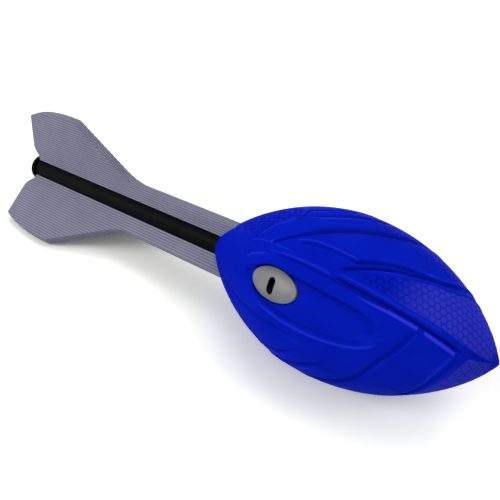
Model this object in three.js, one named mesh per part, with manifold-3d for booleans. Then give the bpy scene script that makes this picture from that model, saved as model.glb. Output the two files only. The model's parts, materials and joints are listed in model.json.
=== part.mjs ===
// Vortex throwing toy: a foam ball of football shape on a finned tail tube, with three whistles.
// Sizes are millimetres. The toy is built along its own axis, X running from the tail's end to the
// nose and Z pointing up through the upper fin. At the end it is laid on the surface it rests on.

import * as THREE from 'three';
import { mergeVertices } from 'three/addons/utils/BufferGeometryUtils.js';
import Module from 'manifold-3d';

const wasm = await Module();
wasm.setup();

// Driving sizes of the whole toy
const TAIL_LENGTH = 160; // from the end cap's rear face to the rear point of the body's outline
const BODY_LENGTH = 155;
const BODY_DIAMETER = 85;
const SECTORS = 3; // fins, and whistles between them

// Clearances
const FIT_GAP = 0.3; // glued, pressed or moulded joints
const MOUTH_GAP = 1; // foam round the rim of a whistle's face
const CUT_OVERRUN = 5; // how far a cutting tool runs past what it cuts

// Shape of the body's outline, from its widest ring to the nose and to the rear
const WIDEST_SHARE = 0.503; // of the body's length, from the rear
const NOSE_SHARES = { inner: 2.09, outer: 0.767 }; // exponents of the curve
const REAR_SHARES = { inner: 1.94, outer: 0.844 };

// Dished trough ahead of each whistle
const TROUGH_REAR = 42; // from the body's rear point
const TROUGH_LENGTH = 70;
const TROUGH_WIDTH = 20;
const TROUGH_DEPTH = 2.2;
const TROUGH_MIDDLE_SHARE = 0.525; // of the sector's turn, just below the whistle's middle
const TROUGH_EDGE_SHARE = 0.4; // of the half width, over which the dish falls to its full depth
const TROUGH_CORNER_SHARE = 3; // power of its rounded outline, where 2 is an oval

// Grooves moulded into the skin, one set in each sector. Each point has its share of the body's
// length, from the rear point, and its share of the sector's turn.
const SPINE_GROOVE = { width: 3.6, depth: 1.6 };
const SWOOP_GROOVE = { width: 2.4, depth: 0.9 };
const SPINE_SHARES = [
  [0.42, 0.333], [0.55, 0.345], [0.65, 0.354], [0.75, 0.362], [0.84, 0.398], [0.9, 0.455], [0.955, 0.53],
];
const FRONT_SWOOP_SHARES = [
  [0.55, 0.3], [0.6, 0.247], [0.72, 0.137], [0.81, 0.01], [0.855, -0.142], [0.89, -0.342], [0.904, -0.5],
];
const REAR_SWOOP_SHARES = [
  [0.325, 0.275], [0.37, 0.208], [0.435, 0.146], [0.58, 0.013], [0.64, -0.067], [0.74, -0.33], [0.802, -0.575],
];

// Tail tube
const TUBE_DIAMETER = 15.5;
const TUBE_WALL = 1.5;
const TUBE_INSERT = 70; // from the body's rear point to the tube's front end

// End cap
const CAP_DIAMETER = 18.5;
const CAP_FACE_DIAMETER = 10; // flat centre of the rear face
const CAP_DOME = 1.5;
const CAP_RIM = 2.5;
const CAP_SHANK_LENGTH = 12;
const CAP_SHANK_CHAMFER = 0.8;

// Fins: places along the axis are from the end cap's rear face, reaches are from the axis
const FIN_THICKNESS = 6;
const WEB_REACH = 17.4; // narrow strip along the tube
const WEB_INSERT = 30; // from the body's rear point to the strip's front end
const FIN_REAR_CORNER = { along: 1.2, reach: 15.5 };
const FIN_REAR_TIP = { along: 6.5, reach: 40.5 };
const FIN_TIP_BULGE = { along: 24, reach: 47.6 }; // control point of the curved tip
const FIN_FRONT_TIP = { along: 52, reach: 45.8 };
const FIN_FLARE_START = 98;
const FLARE_FILLET = 9; // length of the rounded run at each side of the flare's start
const ROOT_SETBACK = 0.9; // foam's rear end ahead of the cap's rim
const ROOT_STEP = 1.5; // foam's rear corner above the cap's rim

// Tube anchor, moulded into the foam
const ANCHOR_REAR = 34; // from the body's rear point
const ANCHOR_WALL = 2.4;
const ANCHOR_FLOOR = 2.4;
const ANCHOR_FLANGE_DIAMETER = 32;
const ANCHOR_FLANGE = 3;
const BARB_COUNT = 3;
const BARB_HEIGHT = 3.5;
const BARB_LENGTH = 5;
const PIN_DIAMETER = 2.5; // retaining pin through the anchor's collar and the tube
const PIN_SETBACK = 4.5; // from the anchor's rear end to the pin's middle

// Whistles
const WHISTLE_ALONG = 59.5; // centre, from the body's rear point
const WHISTLE_LENGTH = 26.8;
const WHISTLE_WIDTH = 15;
const WHISTLE_SINK = 3.4; // face's rim below the body's outline
const FACE_CROWN = 1.8;
const FACE_RIM = 1.4;
const FACE_WALL = 1.3;
const SKIRT_DEPTH = 3.4;
const CUP_DEPTH = 12;
const CUP_WALL = 1.2;
const CUP_FLOOR = 1.4;
const SLOT_LENGTH = 8.6;
const SLOT_WIDTH = 3;

// Fineness of the round forms
const BODY_SIDES = 75; // a multiple of the sectors
const BODY_RINGS = 15; // on each side of the widest ring
const ROUND_SIDES = 32;
const OVAL_SIDES = 32;
const PIN_SIDES = 20;
const GROOVE_QUARTER_STEPS = 2; // sides in a quarter turn
const GROOVE_STEPS = 14;
const CURVE_STEPS = 4;
const FIN_CURVE_STEPS = 10;

// Worked out from the sizes above
const bodyRadius = BODY_DIAMETER / 2;
const bodyRear = TAIL_LENGTH;
const nose = TAIL_LENGTH + BODY_LENGTH;
const widest = bodyRear + BODY_LENGTH * WIDEST_SHARE;
const sector = (2 * Math.PI) / SECTORS;
const tubeRadius = TUBE_DIAMETER / 2;
const capFront = CAP_DOME + CAP_RIM;
const tubeRear = capFront + FIT_GAP;
const tubeFront = bodyRear + TUBE_INSERT;
const webFront = bodyRear + WEB_INSERT;
const anchorRear = bodyRear + ANCHOR_REAR;
const socketRadius = tubeRadius + FIT_GAP;
const anchorRadius = socketRadius + ANCHOR_WALL;
const socketFloor = tubeFront + FIT_GAP;
const anchorFront = socketFloor + ANCHOR_FLOOR;
const pinAlong = anchorRear + PIN_SETBACK;
const whistleAlong = bodyRear + WHISTLE_ALONG;
const troughMiddle = bodyRear + TROUGH_REAR + TROUGH_LENGTH / 2;

// Materials
const foamBlue = new THREE.MeshStandardMaterial({ color: 0x0212b0, roughness: 0.5, metalness: 0 });
const foamGrey = new THREE.MeshStandardMaterial({ color: 0x7a7a8f, roughness: 0.85, metalness: 0 });
const plasticBlack = new THREE.MeshStandardMaterial({ color: 0x121112, roughness: 0.45, metalness: 0 });
const plasticGrey = new THREE.MeshStandardMaterial({ color: 0x858489, roughness: 0.5, metalness: 0 });
const steel = new THREE.MeshStandardMaterial({ color: 0xa9abae, roughness: 0.35, metalness: 1 });
const plasticNatural = new THREE.MeshStandardMaterial({ color: 0xc9c8c0, roughness: 0.55, metalness: 0 });

// Shared vertices are merged and flat slivers dropped, and the faces are turned to point out.
function welded(geometry) {
  const bare = geometry.clone();
  for (const name of Object.keys(bare.attributes)) {
    if (name !== 'position') bare.deleteAttribute(name);
  }
  const merged = mergeVertices(bare);
  const corners = merged.index.array;
  const points = merged.attributes.position;
  const kept = [];
  let sixVolumes = 0;
  const a = new THREE.Vector3();
  const b = new THREE.Vector3();
  const c = new THREE.Vector3();
  for (let k = 0; k < corners.length; k += 3) {
    const [i, j, l] = [corners[k], corners[k + 1], corners[k + 2]];
    if (i === j || j === l || l === i) continue;
    kept.push(i, j, l);
    a.fromBufferAttribute(points, i);
    b.fromBufferAttribute(points, j);
    c.fromBufferAttribute(points, l);
    sixVolumes += a.dot(b.cross(c));
  }
  if (sixVolumes < 0) kept.reverse();
  merged.setIndex(kept);
  return merged;
}

function toSolid(geometry) {
  const clean = welded(geometry);
  const mesh = new wasm.Mesh({
    numProp: 3,
    vertProperties: new Float32Array(clean.attributes.position.array),
    triVerts: new Uint32Array(clean.index.array),
  });
  return new wasm.Manifold(mesh);
}

function toGeometry(solid) {
  const mesh = solid.getMesh();
  const geometry = new THREE.BufferGeometry();
  geometry.setAttribute('position', new THREE.BufferAttribute(new Float32Array(mesh.vertProperties), 3));
  geometry.setIndex(Array.from(mesh.triVerts));
  geometry.computeVertexNormals();
  return geometry;
}

// A profile of [along, radius] points turned round the toy's axis.
function turned(profile, sides = ROUND_SIDES) {
  const points = profile.map(([along, radius]) => new THREE.Vector2(radius, along));
  return welded(new THREE.LatheGeometry(points, sides).rotateZ(-Math.PI / 2));
}

// A flat outline in the plane of the axis and a reach from it, given a thickness across.
function sheet(outline, thickness) {
  const geometry = new THREE.ExtrudeGeometry(outline, {
    depth: thickness,
    bevelEnabled: false,
    curveSegments: FIN_CURVE_STEPS,
  });
  return geometry.translate(0, 0, -thickness / 2).rotateX(Math.PI / 2);
}

// A closed solid through ovals of [half length, half width, height], in a whistle's own frame
// (X along the toy, Z out of the body). Its first and last ovals are points.
function ovalLoft(ovals) {
  const positions = [];
  const faces = [];
  ovals.forEach(([halfLength, halfWidth, height], ring) => {
    for (let side = 0; side < OVAL_SIDES; side += 1) {
      const angle = (2 * Math.PI * side) / OVAL_SIDES;
      positions.push(halfLength * Math.cos(angle), halfWidth * Math.sin(angle), height);
      if (ring === 0) continue;
      const next = (side + 1) % OVAL_SIDES;
      const row = ring * OVAL_SIDES;
      faces.push(row - OVAL_SIDES + side, row + side, row + next);
      faces.push(row - OVAL_SIDES + side, row + next, row - OVAL_SIDES + next);
    }
  });
  const geometry = new THREE.BufferGeometry();
  geometry.setAttribute('position', new THREE.Float32BufferAttribute(positions, 3));
  geometry.setIndex(faces);
  return welded(geometry);
}

// Ovals of a dome from its top point down to its rim at height zero.
function domeOvals(halfLength, halfWidth, rise) {
  const ovals = [];
  for (let k = 0; k <= CURVE_STEPS; k += 1) {
    const angle = (Math.PI / 2) * (k / CURVE_STEPS);
    ovals.push([halfLength * Math.sin(angle), halfWidth * Math.sin(angle), rise * Math.cos(angle)]);
  }
  return ovals;
}

// Radius of the body's smooth outline at a place along the axis.
function outlineRadius(along) {
  const ahead = along >= widest;
  const run = ahead ? nose - widest : widest - bodyRear;
  const share = Math.min(Math.abs(along - widest) / run, 1);
  const curve = ahead ? NOSE_SHARES : REAR_SHARES;
  return bodyRadius * Math.pow(1 - Math.pow(share, curve.inner), curve.outer);
}

function smoothStep(share) {
  const t = Math.min(Math.max(share, 0), 1);
  return t * t * (3 - 2 * t);
}

// Depth of the nearest trough at a place on the skin.
function troughDepth(along, turn) {
  const fromMiddle = THREE.MathUtils.euclideanModulo(turn, sector) - sector * TROUGH_MIDDLE_SHARE;
  const across = (2 * fromMiddle * outlineRadius(along)) / TROUGH_WIDTH;
  const lengthwise = (2 * (along - troughMiddle)) / TROUGH_LENGTH;
  const powers = Math.abs(across) ** TROUGH_CORNER_SHARE + Math.abs(lengthwise) ** TROUGH_CORNER_SHARE;
  const inward = 1 - powers ** (1 / TROUGH_CORNER_SHARE);
  return TROUGH_DEPTH * smoothStep(inward / TROUGH_EDGE_SHARE);
}

// The body's skin: rings of points between the two points on the axis.
function skinGeometry() {
  const stations = [];
  for (let k = -BODY_RINGS + 1; k < BODY_RINGS; k += 1) {
    const run = k < 0 ? widest - bodyRear : nose - widest;
    stations.push(widest + run * Math.sin((Math.PI / 2) * (k / BODY_RINGS)));
  }
  const positions = [bodyRear, 0, 0];
  for (const along of stations) {
    for (let side = 0; side < BODY_SIDES; side += 1) {
      const turn = (2 * Math.PI * side) / BODY_SIDES;
      const radius = outlineRadius(along) - troughDepth(along, turn);
      positions.push(along, -radius * Math.sin(turn), radius * Math.cos(turn));
    }
  }
  positions.push(nose, 0, 0);
  const last = positions.length / 3 - 1;
  const at = (ring, side) => 1 + ring * BODY_SIDES + (side % BODY_SIDES);
  const faces = [];
  for (let side = 0; side < BODY_SIDES; side += 1) {
    faces.push(0, at(0, side), at(0, side + 1));
    for (let ring = 0; ring < stations.length - 1; ring += 1) {
      faces.push(at(ring, side), at(ring + 1, side), at(ring + 1, side + 1));
      faces.push(at(ring, side), at(ring + 1, side + 1), at(ring, side + 1));
    }
    faces.push(at(stations.length - 1, side), last, at(stations.length - 1, side + 1));
  }
  const geometry = new THREE.BufferGeometry();
  geometry.setAttribute('position', new THREE.Float32BufferAttribute(positions, 3));
  geometry.setIndex(faces);
  return geometry;
}

// A place on the body's smooth outline, and how far above it.
function skinPoint([alongShare, turnShare], lift) {
  const along = bodyRear + BODY_LENGTH * alongShare;
  const turn = sector * turnShare;
  const reach = outlineRadius(along) + lift;
  return new THREE.Vector3(along, -reach * Math.sin(turn), reach * Math.cos(turn));
}

// Round cutter that leaves a groove of the given width and depth along a line on the skin.
function grooveCutter(shares, groove) {
  const radius = (groove.width * groove.width) / (8 * groove.depth) + groove.depth / 2;
  const path = new THREE.CatmullRomCurve3(shares.map((point) => skinPoint(point, radius - groove.depth)));
  const section = new THREE.Shape();
  section.absarc(0, 0, radius, 0, 2 * Math.PI);
  return new THREE.ExtrudeGeometry(section, {
    steps: GROOVE_STEPS,
    curveSegments: 2 * GROOVE_QUARTER_STEPS,
    extrudePath: path,
  });
}

// Outer profile of the tube anchor, grown by a clearance. The axis is inside it.
function anchorProfile(gap) {
  const points = [[anchorRear - gap, 0], [anchorRear - gap, anchorRadius + gap]];
  const flangeRear = anchorFront - ANCHOR_FLANGE;
  const barbPitch = (flangeRear - anchorRear) / (BARB_COUNT + 1);
  for (let k = 1; k <= BARB_COUNT; k += 1) {
    const crest = anchorRear + k * barbPitch;
    points.push([crest - gap, anchorRadius + gap]);
    points.push([crest - gap, anchorRadius + BARB_HEIGHT + gap]);
    points.push([crest + BARB_LENGTH + gap, anchorRadius + gap]);
  }
  points.push([flangeRear - gap, anchorRadius + gap]);
  points.push([flangeRear - gap, ANCHOR_FLANGE_DIAMETER / 2 + gap]);
  points.push([anchorFront + gap, ANCHOR_FLANGE_DIAMETER / 2 + gap]);
  points.push([anchorFront + gap, 0]);
  return points;
}

function cylinderAlong(radius, from, to) {
  return turned([[from, 0], [from, radius], [to, radius], [to, 0]]);
}

// Outline that cuts the body's slot for a fin's web.
function slotOutline() {
  const rear = bodyRear - CUT_OVERRUN;
  const front = webFront + FIT_GAP;
  const reach = WEB_REACH + FIT_GAP;
  const outline = new THREE.Shape();
  outline.moveTo(rear, 0);
  outline.lineTo(front, 0);
  outline.lineTo(front, reach);
  outline.lineTo(rear, reach);
  return outline;
}

function finOutline() {
  const rootRear = capFront + ROOT_SETBACK;
  const slope = (FIN_FRONT_TIP.reach - WEB_REACH) / (FIN_FLARE_START - FIN_FRONT_TIP.along);
  const outline = new THREE.Shape();
  outline.moveTo(rootRear, 0);
  outline.lineTo(rootRear, CAP_DIAMETER / 2 + ROOT_STEP);
  outline.lineTo(FIN_REAR_CORNER.along, FIN_REAR_CORNER.reach);
  outline.lineTo(FIN_REAR_TIP.along, FIN_REAR_TIP.reach);
  outline.quadraticCurveTo(
    FIN_TIP_BULGE.along, FIN_TIP_BULGE.reach, FIN_FRONT_TIP.along, FIN_FRONT_TIP.reach);
  outline.lineTo(FIN_FLARE_START - FLARE_FILLET, WEB_REACH + slope * FLARE_FILLET);
  outline.quadraticCurveTo(FIN_FLARE_START, WEB_REACH, FIN_FLARE_START + FLARE_FILLET, WEB_REACH);
  outline.lineTo(webFront, WEB_REACH);
  outline.lineTo(webFront, 0);
  return outline;
}

// Turns a solid's geometry from the upper fin's place to another sector.
function turnedTo(geometry, turn) {
  return geometry.clone().rotateX(turn);
}

// Carries a geometry from a whistle's own frame to its place on the body.
function placedWhistle(geometry, turn) {
  const reach = outlineRadius(whistleAlong) - WHISTLE_SINK;
  const ahead = outlineRadius(whistleAlong + WHISTLE_LENGTH / 2);
  const behind = outlineRadius(whistleAlong - WHISTLE_LENGTH / 2);
  const tilt = Math.atan2(ahead - behind, WHISTLE_LENGTH);
  return geometry.clone().rotateY(-tilt).translate(whistleAlong, 0, reach).rotateX(turn);
}

// Cylinder across the axis at the retaining pin's place.
function crossPin(radius, length) {
  return new THREE.CylinderGeometry(radius, radius, length, PIN_SIDES).translate(pinAlong, 0, 0);
}

function pinHole() {
  return toSolid(crossPin(PIN_DIAMETER / 2 + FIT_GAP, 2 * anchorRadius + CUT_OVERRUN));
}

function makeTube() {
  const inner = tubeRadius - TUBE_WALL;
  const wall = turned([
    [tubeRear, inner], [tubeRear, tubeRadius], [tubeFront, tubeRadius], [tubeFront, inner],
    [tubeRear, inner],
  ]);
  return toGeometry(toSolid(wall).subtract(pinHole()));
}

function makeCap() {
  const shank = tubeRadius - TUBE_WALL - FIT_GAP;
  const faceRadius = CAP_FACE_DIAMETER / 2;
  const rimRadius = CAP_DIAMETER / 2;
  const profile = [[0, 0], [0, faceRadius]];
  for (let k = 1; k <= CURVE_STEPS; k += 1) {
    const angle = (Math.PI / 2) * (k / CURVE_STEPS);
    const along = CAP_DOME * (1 - Math.cos(angle));
    profile.push([along, faceRadius + (rimRadius - faceRadius) * Math.sin(angle)]);
  }
  profile.push([capFront, rimRadius], [capFront, shank]);
  profile.push([capFront + CAP_SHANK_LENGTH - CAP_SHANK_CHAMFER, shank]);
  profile.push([capFront + CAP_SHANK_LENGTH, shank - CAP_SHANK_CHAMFER]);
  profile.push([capFront + CAP_SHANK_LENGTH, 0]);
  return turned(profile);
}

function makeFin() {
  const blank = toSolid(sheet(finOutline(), FIN_THICKNESS));
  const seat = toSolid(cylinderAlong(tubeRadius + FIT_GAP, -CUT_OVERRUN, webFront + CUT_OVERRUN));
  return toGeometry(blank.subtract(seat));
}

function makeAnchor() {
  const socket = cylinderAlong(socketRadius, anchorRear - CUT_OVERRUN, socketFloor);
  return toGeometry(toSolid(turned(anchorProfile(0))).subtract(toSolid(socket)).subtract(pinHole()));
}

// Domed face with a rim that lies on the cup and a skirt that fits into it.
function makeWhistleFace() {
  const rim = [WHISTLE_LENGTH / 2, WHISTLE_WIDTH / 2];
  const skirt = rim.map((half) => half - CUP_WALL - FIT_GAP);
  const bore = skirt.map((half) => half - FACE_WALL);
  const shell = ovalLoft([
    ...domeOvals(...rim, FACE_CROWN),
    [...rim, -FACE_RIM],
    [...skirt, -FACE_RIM],
    [...skirt, -FACE_RIM - SKIRT_DEPTH],
    [...bore, -FACE_RIM - SKIRT_DEPTH],
    ...domeOvals(...bore, FACE_CROWN - FACE_WALL).reverse(),
  ]);
  const straight = (SLOT_LENGTH - SLOT_WIDTH) / 2;
  const slot = new THREE.Shape();
  slot.absarc(0, straight, SLOT_WIDTH / 2, 0, Math.PI);
  slot.absarc(0, -straight, SLOT_WIDTH / 2, Math.PI, 2 * Math.PI);
  const cutter = new THREE.ExtrudeGeometry(slot, {
    depth: FACE_CROWN + CUT_OVERRUN,
    bevelEnabled: false,
    curveSegments: CURVE_STEPS,
  });
  return toGeometry(toSolid(shell).subtract(toSolid(cutter)));
}

function makeWhistleCup() {
  const outer = [WHISTLE_LENGTH / 2, WHISTLE_WIDTH / 2];
  const inner = outer.map((half) => half - CUP_WALL);
  const top = -FACE_RIM - FIT_GAP;
  const bottom = top - CUP_DEPTH;
  const floor = bottom + CUP_FLOOR;
  return ovalLoft([
    [0, 0, bottom], [...outer, bottom], [...outer, top], [...inner, top], [...inner, floor], [0, 0, floor],
  ]);
}

// Pocket in the foam that takes a whistle, wider at its mouth.
function whistlePocket() {
  const seat = [WHISTLE_LENGTH / 2 + FIT_GAP, WHISTLE_WIDTH / 2 + FIT_GAP];
  const mouth = [WHISTLE_LENGTH / 2 + MOUTH_GAP, WHISTLE_WIDTH / 2 + MOUTH_GAP];
  const bottom = -FACE_RIM - CUP_DEPTH - 2 * FIT_GAP;
  const top = WHISTLE_SINK + CUT_OVERRUN;
  return ovalLoft([
    [0, 0, bottom], [...seat, bottom], [...seat, -FACE_RIM], [...mouth, 0], [...mouth, top], [0, 0, top],
  ]);
}

function makeBody() {
  const bore = cylinderAlong(tubeRadius + FIT_GAP, bodyRear - CUT_OVERRUN, tubeFront);
  const slot = sheet(slotOutline(), FIN_THICKNESS + 2 * FIT_GAP);
  const grooves = [
    grooveCutter(SPINE_SHARES, SPINE_GROOVE),
    grooveCutter(FRONT_SWOOP_SHARES, SWOOP_GROOVE),
    grooveCutter(REAR_SWOOP_SHARES, SWOOP_GROOVE),
  ];
  let foam = toSolid(skinGeometry()).subtract(toSolid(bore));
  foam = foam.subtract(toSolid(turned(anchorProfile(FIT_GAP))));
  for (let k = 0; k < SECTORS; k += 1) {
    foam = foam.subtract(toSolid(turnedTo(slot, k * sector)));
    foam = foam.subtract(toSolid(placedWhistle(whistlePocket(), (k + 0.5) * sector)));
    for (const groove of grooves) {
      foam = foam.subtract(toSolid(turnedTo(groove, k * sector)));
    }
  }
  return toGeometry(foam);
}

const toy = new THREE.Group();

function addPiece(name, geometry, material) {
  const mesh = new THREE.Mesh(geometry, material);
  mesh.name = name;
  toy.add(mesh);
}

const body = makeBody();
addPiece('foam_body', body, foamBlue);
addPiece('tail_tube', makeTube(), plasticBlack);
addPiece('end_cap', makeCap(), plasticBlack);
addPiece('tube_anchor', makeAnchor(), plasticNatural);
addPiece('anchor_pin', crossPin(PIN_DIAMETER / 2, 2 * anchorRadius), steel);

// The first sector is straight up, and the turn runs from there to the right, seen from behind.
const finNames = ['fin_upper', 'fin_lower_right', 'fin_lower_left'];
const whistleNames = ['right', 'under', 'left'];
const fin = makeFin();
const face = makeWhistleFace();
const cup = makeWhistleCup();
for (let k = 0; k < SECTORS; k += 1) {
  addPiece(finNames[k], turnedTo(fin, k * sector), foamGrey);
  addPiece(`whistle_face_${whistleNames[k]}`, placedWhistle(face, (k + 0.5) * sector), plasticGrey);
  addPiece(`whistle_cup_${whistleNames[k]}`, placedWhistle(cup, (k + 0.5) * sector), plasticBlack);
}

// Pitch at which the lowest points of the body and of a lower fin lie on one level surface.
function restingPitch(bodyGeometry, finGeometry) {
  const bodyPoints = bodyGeometry.attributes.position;
  const finPoints = finGeometry.attributes.position;
  let slope = -Infinity;
  for (let i = 0; i < finPoints.count; i += 1) {
    let steepest = 0;
    for (let j = 0; j < bodyPoints.count; j += 1) {
      const ahead = bodyPoints.getX(j) - Math.max(finPoints.getX(i), bodyRear);
      if (ahead <= 0) continue;
      const drop = finPoints.getZ(i) - bodyPoints.getZ(j);
      steepest = Math.min(steepest, -drop / (bodyPoints.getX(j) - finPoints.getX(i)));
    }
    slope = Math.max(slope, steepest);
  }
  return Math.atan(slope);
}

// The toy lies on its belly and two fins, nose to +X, over the origin.
toy.rotation.y = restingPitch(body, turnedTo(fin, sector));
toy.updateMatrixWorld(true);
const box = new THREE.Box3().setFromObject(toy, true);
toy.position.set(-(box.min.x + box.max.x) / 2, -(box.min.y + box.max.y) / 2, -box.min.z);
toy.updateMatrixWorld(true);

export default toy;
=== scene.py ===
"""Looks of the vortex throwing toy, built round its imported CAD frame.

Shapes are worked out in the toy's own frame, in millimetres: X runs along the axis from the end cap's
rear face to the nose, Z points up through the upper fin, and a turn of 90 degrees points to -Y, the
side that the camera sees. The end cap's face in the record says where that frame lies.
"""

import json
import math

import bmesh
import bpy
import numpy as np
from mathutils import Matrix, Vector


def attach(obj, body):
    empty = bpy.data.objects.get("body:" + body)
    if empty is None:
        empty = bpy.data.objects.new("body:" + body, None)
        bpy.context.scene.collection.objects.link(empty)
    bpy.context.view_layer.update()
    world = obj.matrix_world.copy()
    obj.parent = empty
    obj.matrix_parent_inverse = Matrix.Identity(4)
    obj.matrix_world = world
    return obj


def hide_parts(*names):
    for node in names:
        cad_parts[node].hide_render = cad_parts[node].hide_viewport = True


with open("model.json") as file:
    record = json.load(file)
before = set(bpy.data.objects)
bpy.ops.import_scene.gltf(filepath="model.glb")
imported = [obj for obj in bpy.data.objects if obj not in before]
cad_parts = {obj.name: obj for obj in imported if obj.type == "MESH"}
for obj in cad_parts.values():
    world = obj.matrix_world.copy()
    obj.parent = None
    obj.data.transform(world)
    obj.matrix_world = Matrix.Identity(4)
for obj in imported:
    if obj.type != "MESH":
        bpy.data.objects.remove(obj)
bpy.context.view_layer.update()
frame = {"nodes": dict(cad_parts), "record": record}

MM = 0.001
SECTORS = 3
SECTOR = 360.0 / SECTORS
CUT_OVERRUN = 10.0  # how far a cutter runs past what it cuts

# Body, repeated from the part's source
BODY_REAR = 160.0
BODY_LENGTH = 155.0
BODY_RADIUS = 42.5
NOSE = BODY_REAR + BODY_LENGTH
WIDEST = BODY_REAR + 0.503 * BODY_LENGTH
NOSE_CURVE = (2.09, 0.767)  # powers of the outline's curve
REAR_CURVE = (1.94, 0.844)
FIT_GAP = 0.3

# Tail, repeated from the part's source
CAP_RADIUS = 9.25
CAP_FACE_RADIUS = 5.0
CAP_FRONT = 4.0
CAP_SHANK_LENGTH = 12.0
CAP_SHANK_CHAMFER = 0.8
TUBE_RADIUS = 7.75
TUBE_WALL = 1.5
TUBE_REAR = CAP_FRONT + FIT_GAP
TUBE_FRONT = BODY_REAR + 70.0
FIN_THICKNESS = 6.0
WEB_REACH = 17.4
WEB_FRONT = BODY_REAR + 30.0
FIN_ROOT = (CAP_FRONT + 0.9, CAP_RADIUS + 1.5)
FIN_REAR_CORNER = (1.2, 15.5)
FIN_REAR_TIP = (6.5, 40.5)
FIN_TIP_BULGE = (24.0, 47.6)
FIN_FRONT_TIP = (52.0, 45.8)
FIN_FLARE_START = 98.0
FLARE_FILLET = 9.0

# Tail, finer than in the part's source
CORNER_ENDS = ((3.9, 12.2), (1.9, 19.0))  # where a fin's rear corner starts and ends to round
RIB_PITCH = 1.65
RIB_DEPTH = 0.4
RIB_SHARPNESS = 2  # power of their profile, which narrows the grooves between them
RIB_TONE = 0.16  # added to the ribs' attribute, so that its zero is about their mean
SLAB_REACH = 50.0
SLAB_OVERRUN = 5.0
EDGE_RIBS = 4
EDGE_ROUND = 0.5
EDGE_LEVELS = 49  # outlines that make up a fin's edge
EDGE_MARGIN = 0.02  # by which they pass the fin's faces
TUBE_BEVEL = 0.2
CAP_FACE_BEND = ((0.0, -0.75), (0.1, -0.3), (0.25, 0.1), (0.45, 0.5))  # along, and past its flat face
CAP_CROWN = (0.75, 2.0)  # how far its face then curves, along and outwards
CAP_REAR_ROUND = 0.7
CAP_REAR_ROUND_ALONG = 1.9
CAP_FRONT_ROUND = 0.5

# Whistles, repeated from the part's source
WHISTLE_ALONG = BODY_REAR + 59.5
WHISTLE_HALF = (13.4, 7.5)
WHISTLE_SINK = 3.4
FACE_CROWN = 1.8
FACE_RIM = 1.4
FACE_WALL = 1.3
SKIRT_INSET = 1.5
SKIRT_DEPTH = 3.4
SLOT_WIDTH = 3.0
CUP_DEPTH = 12.0
MOUTH_GAP = 1.0

# Whistles, other than in the part's source
FACE_ROUND = 0.45  # of the face's rim
FACE_CURVE = (2.4, 0.9)  # powers of the dome's curve
SLOT_ENDS = (1.4, 2.4)  # straight part above and below the middle, a little shorter than the part's
SLOT_SPREAD = 0.45  # how much wider the slot is on every side than the part's
SLOT_LEVELS = (  # height over the rim, and how far past the part's slot the cut reaches there
    (-5.4, 3.4), (-1.6, 3.4), (-1.5, 1.9), (0.3, 1.9), (FACE_CROWN - 0.2, SLOT_SPREAD), (6.0, SLOT_SPREAD))
POCKET_TOP = 12.0  # of the cutter, over the face's rim

# Camera, fitted to the photograph, in the toy's frame
CAMERA_PLACE = (309.29, -181.51, 160.20)
CAMERA_AIM = (188.84, -6.64, 10.16)
CAMERA_UP = (-0.3466, 0.4618, 0.8165)
LENS_SHARE = 0.9915  # focal length as a share of the frame's width
SENSOR = 36.0

# The toy's frame, placed by the mount on the end cap's face
mount = frame["record"]["mounts"][0]
ahead = -Vector(mount["axis"]).normalized()
sideways = Vector((0, 1, 0))
toy_frame = Matrix.Identity(4)
for column, vector in enumerate((ahead, sideways, ahead.cross(sideways))):
    for row in range(3):
        toy_frame[row][column] = vector[row] * MM
toy_frame.translation = Vector(mount["pos_m"])


def in_cad(point):
    """A point of the toy's frame, in the CAD's frame and in metres."""
    return toy_frame @ Vector(point)


def make_camera():
    data = bpy.data.cameras.new("camera")
    data.sensor_width = SENSOR
    data.lens = LENS_SHARE * SENSOR
    data.clip_start = 0.01
    camera = bpy.data.objects.new("camera", data)
    bpy.context.collection.objects.link(camera)
    place = in_cad(CAMERA_PLACE)
    back = (place - in_cad(CAMERA_AIM)).normalized()
    up = (toy_frame.to_3x3() @ Vector(CAMERA_UP)).normalized()
    right = up.cross(back).normalized()
    up = back.cross(right)
    camera.matrix_world = Matrix.Translation(place) @ Matrix((right, up, back)).transposed().to_4x4()
    bpy.context.scene.camera = camera


make_camera()


# Node materials


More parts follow.
